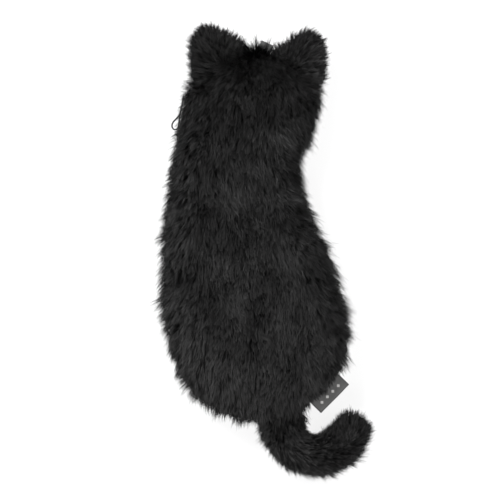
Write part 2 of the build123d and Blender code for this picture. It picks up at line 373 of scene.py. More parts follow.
def makeCordMaterial():
    material, tree, shader = newMaterial("waxedCord", (0.004, 0.004, 0.004), 0.55)
    shader.inputs["Specular IOR Level"].default_value = 0.12
    place = objectPlace(tree)
    plies = waveNode(tree, place, 560.0, "DIAGONAL", 0.4)
    wire(tree, colourRamp(tree, [(0.1, (0.0015, 0.0015, 0.0015)), (0.9, (0.006, 0.006, 0.006))], plies),
         shader.inputs["Base Color"])
    addBump(tree, shader, plies, 0.00018, 0.7)
    return material


pileFinishAndPaintedLight = {
    # painted shade: root and middle are far darker than tip, for the shade that falls deep in the pile
    "root": (0.0003, 0.0003, 0.0003), "middle": (0.0012, 0.0012, 0.0012), "tip": (0.0150, 0.0147, 0.0147),
    # painted light and shade: patchDark and patchLight give random patches for light catching the nap
    "patchDark": 0.78, "patchLight": 1.25, "patchScale": 55.0,
    "roughness": 0.48, "shine": 0.10,
}


def makePileMaterial():
    material, tree, shader = newMaterial("blackPile", pileFinishAndPaintedLight["tip"], pileFinishAndPaintedLight["roughness"])
    shader.inputs["Specular IOR Level"].default_value = pileFinishAndPaintedLight["shine"]
    place = objectPlace(tree)
    along = addNode(tree, "ShaderNodeAttribute", attribute_name="along").outputs["Fac"]
    shade = addNode(tree, "ShaderNodeAttribute", attribute_name="shade").outputs["Fac"]
    # painted shade: each strand darkens from its tip to its root, where shade falls under the pile
    colour = colourRamp(tree, [(0.0, pileFinishAndPaintedLight["root"]), (0.55, pileFinishAndPaintedLight["middle"]), (1.0, pileFinishAndPaintedLight["tip"])],
                        along)
    # painted light and shade: random patches painted darker and lighter, where light would catch the nap
    # differently
    patches = addNode(tree, "ShaderNodeMapRange", {
        "From Min": 0.36, "From Max": 0.66, "To Min": pileFinishAndPaintedLight["patchDark"], "To Max": pileFinishAndPaintedLight["patchLight"]})
    wire(tree, noiseNode(tree, place, pileFinishAndPaintedLight["patchScale"], 2.0), patches.inputs["Value"])
    napPaintedLight = addNode(tree, "ShaderNodeAttribute", attribute_name="napPaintedLight").outputs["Fac"]
    strand = addNode(tree, "ShaderNodeMapRange", {"To Min": 0.05, "To Max": 2.15})
    wire(tree, shade, strand.inputs["Value"])
    # painted light and shade: the patches and the nap, times each strand's random tone
    tone = timesNode(tree, timesNode(tree, patches.outputs["Result"], napPaintedLight),
                    strand.outputs["Result"])
    scaled = addNode(tree, "ShaderNodeVectorMath", operation="SCALE")
    wire(tree, colour, scaled.inputs[0])
    wire(tree, tone, scaled.inputs["Scale"])
    wire(tree, scaled.outputs[0], shader.inputs["Base Color"])
    return material


# pile: strands are scattered on a skin, combed along its lay, clumped, bent and made ribbons

pile = {
    "length": 0.0106, "lengthSpread": (0.5, 1.2), "width": 0.00042, "points": 4,
    "lift": 0.86, "droop": 0.36, "sweep": 0.38, "sweepMore": 0.24,
    "swirl": 0.30, "swirlScale": 52.0, "curl": 0.15, "clump": 0.92, "clumpSize": 0.0023, "clumpStretch": 0.75,
    "tuft": (0.62, 1.30),
    "floorGap": 0.0006, "highest": 0.0545,
}


def vectorNode(tree, operation, first, second=None, scale=None):
    made = addNode(tree, "ShaderNodeVectorMath", operation=operation)
    for index, value in enumerate((first, second)):
        if value is None:
            continue
        if isinstance(value, (tuple, Vector)):
            made.inputs[index].default_value = value
        else:
            wire(tree, value, made.inputs[index])
    if scale is not None:
        wire(tree, scale, made.inputs["Scale"])
    return made.outputs["Vector"]


def readAttribute(tree, name, kind):
    return addNode(tree, "GeometryNodeInputNamedAttribute", {"Name": name}, data_type=kind).outputs["Attribute"]


def keepAttribute(tree, geometry, name, kind, value):
    made = addNode(tree, "GeometryNodeStoreNamedAttribute", {"Name": name}, data_type=kind, domain="POINT")
    wire(tree, geometry, made.inputs["Geometry"])
    wire(tree, value, made.inputs["Value"])
    return made.outputs["Geometry"]


def randomValue(tree, low, high, seed, kind="FLOAT"):
    made = addNode(tree, "FunctionNodeRandomValue", data_type=kind)
    first = 0 if kind == "FLOAT_VECTOR" else 2
    made.inputs[first].default_value = low
    made.inputs[first + 1].default_value = high
    made.inputs["Seed"].default_value = seed
    return made.outputs[0 if kind == "FLOAT_VECTOR" else 1]


def clumpCells(tree, place):
    # clumps are longer along the body than across it; gives the pull to a clump's middle, and its colour
    squeezed = vectorNode(tree, "MULTIPLY", place, (1.0, pile["clumpStretch"], 1.0))
    cells = addNode(tree, "ShaderNodeTexVoronoi", {"Scale": 1.0 / pile["clumpSize"]})
    wire(tree, squeezed, cells.inputs["Vector"])
    return vectorNode(tree, "SUBTRACT", cells.outputs["Position"], squeezed), cells.outputs["Color"]


def plantRoots(tree, skin, density, seed, band):
    # roots only on faces with their middle in the band along Y, density per square millimetre
    position = addNode(tree, "GeometryNodeInputPosition").outputs[0]
    split = addNode(tree, "ShaderNodeSeparateXYZ")
    wire(tree, position, split.inputs[0])
    inBand = timesNode(tree, mathNode(tree, "GREATER_THAN", split.outputs["Y"], band[0]),
                      mathNode(tree, "LESS_THAN", split.outputs["Y"], band[1]))
    scatter = addNode(tree, "GeometryNodeDistributePointsOnFaces", {"Seed": seed})
    wire(tree, skin, scatter.inputs["Mesh"])
    wire(tree, inBand, scatter.inputs["Selection"])
    thickness = timesNode(tree, readAttribute(tree, "thick", "FLOAT"), density * 1e6)
    wire(tree, thickness, scatter.inputs["Density"])
    roots = keepAttribute(tree, scatter.outputs["Points"], "rootSpot", "FLOAT_VECTOR", position)
    roots = keepAttribute(tree, roots, "rootUp", "FLOAT_VECTOR", scatter.outputs["Normal"])
    own = timesNode(tree, randomValue(tree, 0.0, 1.0, seed + 1), 0.5)
    tone = addNode(tree, "ShaderNodeSeparateXYZ")
    wire(tree, clumpCells(tree, position)[1], tone.inputs[0])
    shared = timesNode(tree, tone.outputs["X"], 0.5)
    roots = keepAttribute(tree, roots, "shade", "FLOAT", mathNode(tree, "ADD", own, shared))
    tuft = addNode(tree, "ShaderNodeMapRange", {"To Min": pile["tuft"][0], "To Max": pile["tuft"][1]})
    wire(tree, tone.outputs["Y"], tuft.inputs["Value"])
    reach = timesNode(tree, randomValue(tree, *pile["lengthSpread"], seed + 2), tuft.outputs["Result"])
    roots = keepAttribute(tree, roots, "reach", "FLOAT", reach)
    wander = randomValue(tree, (-1.0, -1.0, -1.0), (1.0, 1.0, 1.0), seed + 3, "FLOAT_VECTOR")
    roots = keepAttribute(tree, roots, "wander", "FLOAT_VECTOR", wander)
    straight = addNode(tree, "GeometryNodeCurvePrimitiveLine", {"End": (0.0, 0.0, 0.01)})
    strand = addNode(tree, "GeometryNodeResampleCurve", {"Count": pile["points"]})
    wire(tree, straight.outputs[0], strand.inputs["Curve"])
    planted = addNode(tree, "GeometryNodeInstanceOnPoints")
    wire(tree, roots, planted.inputs["Points"])
    wire(tree, strand.outputs[0], planted.inputs["Instance"])
    real = addNode(tree, "GeometryNodeRealizeInstances")
    wire(tree, planted.outputs[0], real.inputs[0])
    return real.outputs[0]


def bendStrands(tree, strands, t):
    # each strand leaves its root, leans along the lay, swirls, curls, and gathers in small clumps
    squared = timesNode(tree, t, t)
    root = readAttribute(tree, "rootSpot", "FLOAT_VECTOR")
    reach = timesNode(tree, readAttribute(tree, "reach", "FLOAT"), readAttribute(tree, "long", "FLOAT"))
    reach = timesNode(tree, reach, pile["length"])
    stand = readAttribute(tree, "stand", "FLOAT")
    rise = mathNode(tree, "ADD", timesNode(tree, stand, 0.5), pile["lift"])
    rise = mathNode(tree, "SUBTRACT", timesNode(tree, t, rise),
                    timesNode(tree, squared, pile["droop"]))
    run = mathNode(tree, "ADD", timesNode(tree, t, pile["sweep"]),
                   timesNode(tree, squared, pile["sweepMore"]))
    up = readAttribute(tree, "rootUp", "FLOAT_VECTOR")
    lay = readAttribute(tree, "lay", "FLOAT_VECTOR")
    offset = vectorNode(tree, "ADD",
                        vectorNode(tree, "SCALE", up, scale=timesNode(tree, rise, reach)),
                        vectorNode(tree, "SCALE", lay, scale=timesNode(tree, run, reach)))
    swirl = addNode(tree, "ShaderNodeTexNoise", {"Scale": pile["swirlScale"], "Detail": 2.0})
    wire(tree, root, swirl.inputs["Vector"])
    swirled = vectorNode(tree, "SUBTRACT", swirl.outputs["Color"], (0.5, 0.5, 0.5))
    amount = timesNode(tree, timesNode(tree, t, reach), pile["swirl"] * 4)
    offset = vectorNode(tree, "ADD", offset, vectorNode(tree, "SCALE", swirled, scale=amount))
    amount = timesNode(tree, timesNode(tree, squared, reach), pile["curl"])
    wander = readAttribute(tree, "wander", "FLOAT_VECTOR")
    offset = vectorNode(tree, "ADD", offset, vectorNode(tree, "SCALE", wander, scale=amount))
    pull = clumpCells(tree, root)[0]
    # a clump closes across its lay, so that it stays a streak
    onward = addNode(tree, "ShaderNodeVectorMath", operation="DOT_PRODUCT")
    wire(tree, pull, onward.inputs[0])
    wire(tree, lay, onward.inputs[1])
    pull = vectorNode(tree, "SUBTRACT", pull, vectorNode(tree, "SCALE", lay, scale=onward.outputs["Value"]))
    gather = timesNode(tree, squared, pile["clump"])
    offset = vectorNode(tree, "ADD", offset, vectorNode(tree, "SCALE", pull, scale=gather))
    # strands lie on the floor and stay under the tallest pile
    parts = addNode(tree, "ShaderNodeSeparateXYZ")
    wire(tree, vectorNode(tree, "ADD", root, offset), parts.inputs[0])
    spare = timesNode(tree, readAttribute(tree, "shade", "FLOAT"), 0.0016)
    level = mathNode(tree, "MAXIMUM", parts.outputs["Z"], mathNode(tree, "ADD", spare, pile["floorGap"]))
    level = mathNode(tree, "MINIMUM", level, mathNode(tree, "ADD", spare, pile["highest"]))
    joined = addNode(tree, "ShaderNodeCombineXYZ")
    wire(tree, parts.outputs["X"], joined.inputs["X"])
    wire(tree, parts.outputs["Y"], joined.inputs["Y"])
    wire(tree, level, joined.inputs["Z"])
    bent = addNode(tree, "GeometryNodeSetPosition")
    wire(tree, strands, bent.inputs["Geometry"])
    wire(tree, joined.outputs[0], bent.inputs["Position"])
    return bent.outputs[0]


def makeRibbons(tree, strands, t):
    # a flat tapered ribbon that faces outwards, turned a little at random
    up = readAttribute(tree, "rootUp", "FLOAT_VECTOR")
    tangent = addNode(tree, "GeometryNodeInputTangent").outputs[0]
    across = vectorNode(tree, "NORMALIZE", vectorNode(tree, "CROSS_PRODUCT", tangent, up))
    lean = mathNode(tree, "SUBTRACT", readAttribute(tree, "shade", "FLOAT"), 0.5)
    leaning = vectorNode(tree, "SCALE", up, scale=timesNode(tree, lean, 1.7))
    across = vectorNode(tree, "NORMALIZE", vectorNode(tree, "ADD", across, leaning))
    turned = addNode(tree, "GeometryNodeSetCurveNormal", mode="FREE")
    wire(tree, strands, turned.inputs["Curve"])
    wire(tree, across, turned.inputs["Normal"])
    ready = keepAttribute(tree, turned.outputs[0], "along", "FLOAT", t)
    profile = addNode(tree, "GeometryNodeCurvePrimitiveLine", {
        "Start": (-0.5, 0.0, 0.0), "End": (0.5, 0.0, 0.0)})
    ribbon = addNode(tree, "GeometryNodeCurveToMesh")
    wire(tree, ready, ribbon.inputs["Curve"])
    wire(tree, profile.outputs[0], ribbon.inputs["Profile Curve"])
    taper = mathNode(tree, "SUBTRACT", 1.0, timesNode(tree, mathNode(tree, "POWER", t, 2.2), 0.88))
    wire(tree, timesNode(tree, taper, pile["width"]), ribbon.inputs["Scale"])
    return ribbon.outputs[0]


def makePileTree(name, density, seed, band):
    tree = bpy.data.node_groups.new(name, "GeometryNodeTree")
    tree.interface.new_socket("Geometry", in_out="INPUT", socket_type="NodeSocketGeometry")
    tree.interface.new_socket("Geometry", in_out="OUTPUT", socket_type="NodeSocketGeometry")
    skin = addNode(tree, "NodeGroupInput").outputs[0]
    t = addNode(tree, "GeometryNodeSplineParameter").outputs["Factor"]
    strands = plantRoots(tree, skin, density, seed, band)
    strands = bendStrands(tree, strands, t)
    wire(tree, makeRibbons(tree, strands, t), addNode(tree, "NodeGroupOutput").inputs[0])
    return tree


# painted light and shade: patches painted lighter or darker where light catches the nap, the darkest a painted
# shadow where the body overhangs the tail root; x, y and radius in millimetres, and the change
paintedNapLightPatches = [
    (25, -60, 13, 0.50), (0, -99, 20, 0.30), (20, 6, 15, 0.25), (-64, -9, 7, 0.25), (-10, -24, 13, 0.15),
    (37, -12, 8, -0.35), (-15, 143, 17, -0.30), (-33, -32, 13, -0.25), (-15, 13, 15, -0.22), (45, -84, 9, -0.28),
    (-65, -50, 11, -0.20), (14, -128, 11, -0.55), (17, -158, 7, -0.15), (71, -134, 8, -0.35), (60, -142, 7, 0.20),
    (28, 128, 9, -0.20), (-45, 140, 8, -0.15), (-52, 60, 12, 0.15), (18, 95, 10, 0.12),
]


def paintedNapLight(place):
    # painted light: the lower half is painted lighter, where the light catches the downward nap
    tone = 0.84 + 0.42 * (1 - ease(place.y, -0.10, 0.10))
    if place.y < -0.125:
        tone = 1.0
    for x, y, radius, change in paintedNapLightPatches:
        away = ((place.x * 1000 - x) ** 2 + (place.y * 1000 - y) ** 2) ** 0.5 / radius
        tone += change * (1 - ease(away, 0.2, 1.35))
    return max(0.3, tone)


def comb(skin, style):
    # stores each vertex's lay, length, thickness, stand and painted light and shade on the nap, which style(place,
    # normal) gives
    mesh = skin.data
    names = ("long", "thick", "stand", "napPaintedLight")
    mesh.attributes.new("lay", "FLOAT_VECTOR", "POINT")
    for name in names:
        mesh.attributes.new(name, "FLOAT", "POINT")
    lay = mesh.attributes["lay"]
    numbers = [mesh.attributes[name] for name in names]
    for vertex in mesh.vertices:
        flow, *rest = style(vertex.co, vertex.normal)
        lay.data[vertex.index].vector = flow - vertex.normal * flow.dot(vertex.normal)
        for attribute, value in zip(numbers, rest):
            attribute.data[vertex.index].value = value


def growPile(name, skin, density, seed, band=(-1.0, 1.0)):
    piece = bpy.data.objects.new(name, skin.data.copy())
    bpy.context.collection.objects.link(piece)
    modifier = piece.modifiers.new("pile", "NODES")
    modifier.node_group = makePileTree(name + "Growth", density, seed, band)
    applyModifiers(piece)
    for attribute in ("rootSpot", "rootUp", "lay", "long", "thick", "stand", "reach", "wander"):
        found = piece.data.attributes.get(attribute)
        if found:
            piece.data.attributes.remove(found)
    piece.data.materials.clear()
    piece.data.materials.append(blackPile)
    smooth(piece)
    print(name, "strands", len(piece.data.vertices) // (2 * pile["points"]))
    return piece


# soft forms: a closed solid is remeshed and swollen by cloth pressure

def cadCopy(name, *nodes):
    bm = bmesh.new()
    for node in nodes:
        bm.from_mesh(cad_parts[node].data)
    bmesh.ops.remove_doubles(bm, verts=bm.verts, dist=0.00001)
    return meshObject(name, bm)


def remesh(piece, voxel):
    modifier = piece.modifiers.new("voxels", "REMESH")
    modifier.mode = "VOXEL"
    modifier.voxel_size = voxel
    applyModifiers(piece)


def inflate(piece, form):
    # the outline holds, as a sewn seam does, and no point moves further than the cap
    start = [vertex.co.copy() for vertex in piece.data.vertices]
    cloth = piece.modifiers.new("cloth", "CLOTH")
    cloth.settings.quality = 6
    cloth.settings.mass = 0.25
    cloth.settings.tension_stiffness = 12
    cloth.settings.compression_stiffness = 12
    cloth.settings.bending_stiffness = form["bending"]
    cloth.settings.use_pressure = True
    cloth.settings.uniform_pressure_force = form["pressure"]
    cloth.settings.effector_weights.gravity = 0
    for step in range(1, form["steps"] + 1):
        bpy.context.scene.frame_set(step)
    applyModifiers(piece)
    bpy.context.scene.frame_set(1)
    for vertex, was in zip(piece.data.vertices, start):
        move = vertex.co - was
        move.x *= form["give"]
        move.y *= form["give"]
        vertex.co = was + move * min(1.0, form["cap"] / max(move.length, 1e-9))


def dress(piece, material, body=None, stands=()):
    piece.data.materials.clear()
    piece.data.materials.append(material)
    smooth(piece)
    if body:
        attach(piece, body)
    if stands:
        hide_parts(*stands)
    return piece


# floor and light

studio = {
    "world": (1.0, 1.0, 1.0), "worldPower": 0.62,
    "floor": (0.95, 0.95, 0.95), "floorGlow": 0.88, "floorBase": 0.10,
    # name, place, size, watts
    "lamps": [
        ("keyLight", (-0.75, 0.95, 1.15), 0.6, 58.0),
        ("fillLight", (0.95, 0.3, 1.2), 1.1, 16.0),
        ("lowLight", (0.1, -1.3, 0.9), 1.0, 20.0),
    ],
}


def setStudio():
    world = bpy.data.worlds.new("studio")
    world.use_nodes = True
    background = world.node_tree.nodes["Background"]
    background.inputs["Color"].default_value = studio["world"] + (1.0,)
    background.inputs["Strength"].default_value = studio["worldPower"]
    bpy.context.scene.world = world
    for name, place, size, watts in studio["lamps"]:
        lamp = bpy.data.lights.new(name, "AREA")
        lamp.size = size
        lamp.energy = watts
        lampObject = bpy.data.objects.new(name, lamp)
        lampObject.location = place
        lampObject.rotation_euler = (-Vector(place)).to_track_quat("-Z", "Y").to_euler()
        bpy.context.collection.objects.link(lampObject)
    bm = bmesh.new()
    bmesh.ops.create_grid(bm, x_segments=1, y_segments=1, size=3.0)
    floor = meshObject("floor", bm)
    floor.data.materials.append(makeFloorMaterial())
    bpy.context.scene.view_settings.view_transform = "Standard"


setStudio()
blackPile = makePileMaterial()
blackKnit = makeKnitMaterial()
caseCloth = makeCaseMaterial()
fibre = makeFibreMaterial()
tapeWeave = makeTapeMaterial()
nylon = makeNylonMaterial()
enamel = makeEnamelMaterial()
cordPiece.data.materials.append(makeCordMaterial())
print("studio and materials ready")


# torso: the cover, its pile, and the cushion inside

zipLine = {"centre": (0.62425, -0.032), "radius": 0.700, "span": (0.6, 12.35), "depth": 0.0028,
           "gap": 0.0034, "welt": 0.0021, "weltWide": 0.0085}


def zipPlace(angle, depth, height):
    reach = zipLine["radius"] - depth
    return Vector((zipLine["centre"][0] - reach * cos(radians(angle)),
                   zipLine["centre"][1] + reach * sin(radians(angle)), seamHeight + height))


def zipSpot(place):
    # the angle along the zip's arc and the depth inside it
    x = zipLine["centre"][0] - place.x
    y = place.y - zipLine["centre"][1]
    return degrees(atan2(y, x)), zipLine["radius"] - (x * x + y * y) ** 0.5


def nearZip(place, margin=0.0):
    angle, depth = zipSpot(place)
    low, high = zipLine["span"]
    ends = ease(angle, low - 0.5 - margin, low - 0.1) * (1 - ease(angle, high + 0.1, high + 0.5 + margin))
    return ends if place.x < 0 and depth < 0.018 else 0.0


torsoForm = {
    "flatten": 0.80, "voxel": 0.0045, "pressure": 4.0, "bending": 0.5, "steps": 20, "cap": 0.0065, "give": 0.25,
    "spread": 0.0046, "neck": 0.0048, "wave": 0.0013, "headDrop": 0.20, "lowest": 0.0030, "highest": 0.0418,
    # small changes of the outline: x, y and radius, and how far it moves out, in millimetres
    "trims": [
        (-64, -90, 20, -1.9), (-40, -114, 16, -1.0), (-20, -121, 15, -1.2), (57, -82, 16, -1.9),
        (28, 28, 18, 1.9), (42, -6, 16, 1.2), (22, 65, 12, -1.6), (30, 88, 11, 2.0),
        (35, 105, 11, -1.0), (-68, 55, 15, -1.1), (-72, -49, 16, -0.5), (-54, 121, 11, -1.8),
    ],
}
torsoPile = {
    "density": 3.9, "reverseDensity": 1.7,
    "zones": [("Hips", -0.14, -0.083), ("Belly", -0.083, -0.042), ("Waist", -0.042, 0.010),
              ("Shoulders", 0.010, 0.075), ("Head", 0.075, 0.17)],
    "reverseZones": [("Low", -0.14, -0.02), ("High", -0.02, 0.17)],
    "headMiddle": -0.009,
}
labelSpot = {"middle": (0.0431, -0.1034), "angle": 45.6}


def makeTorso():
    torso = cadCopy("torsoSkin", "fibre_filling")
    reshape(torso, lambda place, normal: Vector((place.x, place.y,
                                                 seamHeight + (place.z - seamHeight) * torsoForm["flatten"])))
    remesh(torso, torsoForm["voxel"])
    inflate(torso, torsoForm)
    soften(torso, 3)
    subdivide(torso)

    def settle(place, normal):
        level = Vector((normal.x, normal.y, 0.0))
        place = place + level * torsoForm["spread"]
        neck = ease(place.y, 0.01, 0.06) * (1 - ease(place.y, 0.06, 0.11)) * max(0.0, normal.x)
        place.x += torsoForm["neck"] * neck
        for x, y, radius, change in torsoForm["trims"]:
            away = ((place.x * 1000 - x) ** 2 + (place.y * 1000 - y) ** 2) ** 0.5 / radius
            place = place + level * change / 1000 * (1 - ease(away, 0.2, 1.1))
        swell = noise.noise(place * 30.0) * torsoForm["wave"] * max(0.0, normal.z)
        rise = place.z - seamHeight
        if rise > 0:
            rise *= 1 - torsoForm["headDrop"] * ease(place.y, 0.07, 0.15)
            rise *= 1 - 0.06 * ease(-place.y, 0.08, 0.13)
        place.z = min(torsoForm["highest"], max(torsoForm["lowest"], seamHeight + rise + swell))
        return place

    reshape(torso, settle)
    return torso


def weltZip(place, normal):
    # the cover's two edges are sewn over the zip's tapes
    near = nearZip(place)
    height = abs(place.z - seamHeight)
    if near == 0 or height > 0.014:
        return place
    angle, depth = zipSpot(place)
    share = near * (1 - ease(height, zipLine["weltWide"], 0.014))
    wanted = depth + (zipLine["welt"] - depth) * share
    moved = zipPlace(angle, wanted, 0.0)
    return Vector((moved.x, moved.y, place.z))


def openZip(skin):
    bm = bmesh.new()
    bm.from_mesh(skin.data)
    gap = []
    for face in bm.faces:
        middle = face.calc_center_median()
        if nearZip(middle, -0.2) > 0.5 and abs(middle.z - seamHeight) < zipLine["gap"]:
            gap.append(face)
    bmesh.ops.delete(bm, geom=gap, context="FACES")
    bm.to_mesh(skin.data)
    bm.free()


def labelPlace(place):
    # along the label's seam and outwards from it
    angle = radians(labelSpot["angle"])
    x = place.x - labelSpot["middle"][0]
    y = place.y - labelSpot["middle"][1]
    return x * cos(angle) + y * sin(angle), x * sin(angle) - y * cos(angle)


torsoLay = {
    "onward": (0.0, -1.0, -0.12), "outward": 0.75, "swayScale": 26.0, "sway": 0.5, "swayAlong": 0.4,
    # the crown, where the pile parts towards the two ears
    "crown": (0.118, 0.150), "crownWide": 0.03, "crownShare": 0.9, "crownAcross": 0.5, "crownDown": -0.55,
    "crownOut": 0.3, "topEdge": (0.128, 0.142), "topLonger": 0.14, "leftLonger": 0.26,
    "stand": 0.45, "ripple": 0.12, "rippleScale": 60.0, "underThick": 0.6,
    # how much shorter the pile is beside the zip, beside its cord and beside the label
    "zipShorter": 0.42, "cordShorter": 0.22, "labelShorter": 0.42,
}


def torsoStyle(place, normal):
    level = Vector((normal.x, normal.y, 0.0))
    sway = noise.noise_vector(place * torsoLay["swayScale"]) * torsoLay["sway"]
    flow = Vector(torsoLay["onward"]) + level * torsoLay["outward"]
    flow = flow + Vector((sway.x, sway.y * torsoLay["swayAlong"], 0.0))
    top = ease(place.y, *torsoLay["crown"])
    across = max(-1.0, min(1.0, (place.x - torsoPile["headMiddle"]) / torsoLay["crownWide"]))
    parted = Vector((across * torsoLay["crownAcross"], torsoLay["crownDown"], 0.0)) + level * torsoLay["crownOut"]
    flow = flow.lerp(parted, top * torsoLay["crownShare"])
    flow.normalize()
    stand = min(1.0, level.length) * torsoLay["stand"]
    edge = ease(place.y, *torsoLay["topEdge"])
    long = 1.0 + torsoLay["ripple"] * noise.noise(place * torsoLay["rippleScale"]) + torsoLay["topLonger"] * edge
    long += torsoLay["leftLonger"] * edge * (1 - ease(place.x, -0.010, 0.0))
    thick = 1.0 if normal.z > -0.6 else torsoLay["underThick"]
    height = abs(place.z - seamHeight)
    near = nearZip(place) * (1 - ease(height, 0.004, 0.013))
    long *= 1 - (torsoLay["zipShorter"] + torsoLay["cordShorter"] * ease(zipSpot(place)[0], 7.0, 10.0)) * near
    along, out = labelPlace(place)
    nearLabel = (1 - ease(abs(along), 0.014, 0.021)) * ease(out, -0.017, -0.008)
    nearLabel *= 1 - ease(height, 0.012, 0.02)
    long *= 1 - torsoLay["labelShorter"] * nearLabel
    return flow, long, thick, stand, paintedNapLight(place)


torso = makeTorso()
print("torso form", [round(value, 4) for value in torso.dimensions])

cushion = shrunkCopy(torso, "cushion", 0.0042)
core = shrunkCopy(torso, "fibreCore", 0.0054)
caseUpper = halfOf(cushion, "cushionCaseUpper", seamHeight, True)
caseLower = halfOf(cushion, "cushionCaseLower", seamHeight, False)
dress(caseUpper, caseCloth, "torso", ["cushion_case_upper"])
dress(caseLower, caseCloth, "torso", ["cushion_case_lower"])
dress(core, fibre, "torso", ["fibre_filling"])
bpy.data.objects.remove(cushion)

reshape(torso, weltZip)
comb(torso, torsoStyle)
backSkin = halfOf(torso, "backSkin", seamHeight, True)
reverseSkin = halfOf(torso, "reverseSkin", seamHeight, False)
bpy.data.objects.remove(torso)
for skin, node in ((backSkin, "back_panel"), (reverseSkin, "reverse_panel")):
    openZip(skin)
    dress(skin, blackKnit, "torso", [node])
for number, (zone, low, high) in enumerate(torsoPile["zones"]):
    grown = growPile("backPile" + zone, backSkin, torsoPile["density"], 11 + 7 * number, (low, high))
    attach(grown, "torso")
for number, (zone, low, high) in enumerate(torsoPile["reverseZones"]):
    density = torsoPile["reverseDensity"]
    grown = growPile("reversePile" + zone, reverseSkin, density, 91 + 7 * number, (low, high))
    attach(grown, "torso")
print("torso ready")


# ears

ears = {
    "form": {"voxel": 0.0026, "pressure": 3.0, "bending": 0.4, "steps": 16, "cap": 0.0022, "give": 0.3,
             "half": 0.0038, "rootSwell": 1.75, "tipSwell": 0.85},
    "density": 4.3,
    "pair": [
        {"side": "left", "fold": (-0.059102, 0.12877), "angle": 30.041, "middle": 0.026, "reach": 0.027,
         "outline": [(4.5, -12), (6.5, -3), (11, 9), (16, 18.5), (21.5, 24), (27, 26.5), (34, 22.5), (40, 12),
                     (44.5, -3), (46, -12)]},
        {"side": "right", "fold": (0.008874, 0.151094), "angle": -35.844, "middle": 0.017, "reach": 0.022,
         "outline": [(1, -12), (2.5, -3), (5.5, 9), (9.5, 19.5), (14.5, 22.5), (21, 21.5), (27, 15.5), (34, 6.5),
                     (38, -3), (39, -12)]},
    ],
}


def earPlace(ear, s, u, z):
    angle = radians(ear["angle"])
    return Vector((ear["fold"][0] + s * cos(angle) - u * sin(angle),
                   ear["fold"][1] + s * sin(angle) + u * cos(angle), z))


def earSpot(ear, place):
    # along the fold line and outwards from it
    angle = radians(ear["angle"])
    x = place.x - ear["fold"][0]
    y = place.y - ear["fold"][1]
    return x * cos(angle) + y * sin(angle), -x * sin(angle) + y * cos(angle)


def makeEarForm(ear):
    form = ears["form"]
    bm = bmesh.new()
    low = seamHeight - form["half"]
    corners = [bm.verts.new(earPlace(ear, s / 1000, u / 1000, low)) for s, u in ear["outline"]]
    made = bmesh.ops.extrude_face_region(bm, geom=[bm.faces.new(corners)])
    lifted = [item for item in made["geom"] if isinstance(item, bmesh.types.BMVert)]
    bmesh.ops.translate(bm, verts=lifted, vec=(0, 0, 2 * form["half"]))
    bmesh.ops.recalc_face_normals(bm, faces=bm.faces)
    piece = meshObject(ear["side"] + "EarForm", bm)
    remesh(piece, form["voxel"])
    inflate(piece, form)

    def taper(place, normal):
        out = earSpot(ear, place)[1]
        share = ease(out, -0.012, ear["reach"])
        swell = form["rootSwell"] + (form["tipSwell"] - form["rootSwell"]) * share
        return Vector((place.x, place.y, seamHeight + (place.z - seamHeight) * swell))

    reshape(piece, taper)
    soften(piece, 2)
    return piece


def earStyle(ear):
    angle = radians(ear["angle"])
    alongWay = Vector((cos(angle), sin(angle), 0.0))
    outWay = Vector((-sin(angle), cos(angle), 0.0))

    def style(place, normal):
        along, out = earSpot(ear, place)
        side = (along - ear["middle"]) / 0.02
        sway = noise.noise_vector(place * 40.0) * 0.35
        flow = outWay * 0.75 + alongWay * side * 0.75 + Vector((sway.x, sway.y, 0.0))
        flow.normalize()
        tip = ease(out, 0.012, ear["reach"])
        return flow, 0.86 - 0.10 * tip, ease(out, -0.012, -0.004), 0.1, paintedNapLight(place) * 1.08
    return style


def bendAcross(piece):
    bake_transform(piece)


for number, ear in enumerate(ears["pair"]):
    form = makeEarForm(ear)
    pad = shrunkCopy(form, ear["side"] + "EarPad", 0.0016)
    comb(form, earStyle(ear))
    back = halfOf(form, ear["side"] + "EarBack", seamHeight, True)
    front = halfOf(form, ear["side"] + "EarFront", seamHeight, False)
    grown = growPile(ear["side"] + "EarPile", form, ears["density"], 131 + 7 * number)
    bpy.data.objects.remove(form)
    for piece in (pad, back, front, grown):
        bendAcross(piece)
    node = ear["side"] + "_ear_"
    dress(pad, fibre, None, [node + "pad"])
    dress(back, blackKnit, None, [node + "back", node + "seam"])
    dress(front, blackKnit, None, [node + "front"])
print("ears ready")


# tail: a curled stuffed tube

tail = {
    "centre": (0.0358, -0.1252), "curl": 0.0293, "height": 0.0155, "radius": 0.0114,
    "start": 152.0, "end": 336.0, "flat": 0.86, "rootWide": 0.0084, "rootSlim": 0.0020,
    "innerSwell": 0.0022, "edge": 0.008, "fold": (0.0064, -0.1263), "foldAngle": 11.3, "density": 4.0,
    "form": {"voxel": 0.003, "pressure": 3.0, "bending": 0.4, "steps": 16, "cap": 0.0015, "give": 1.0},
}


def tailPlace(angle, out, height):
    reach = tail["curl"] + out
    return Vector((tail["centre"][0] + reach * cos(radians(angle)), tail["centre"][1] + reach * sin(radians(angle)),
                   height))


def tailSpot(place):
    x = place.x - tail["centre"][0]
    y = place.y - tail["centre"][1]
    return degrees(atan2(y, x)) % 360, (x * x + y * y) ** 0.5 - tail["curl"]


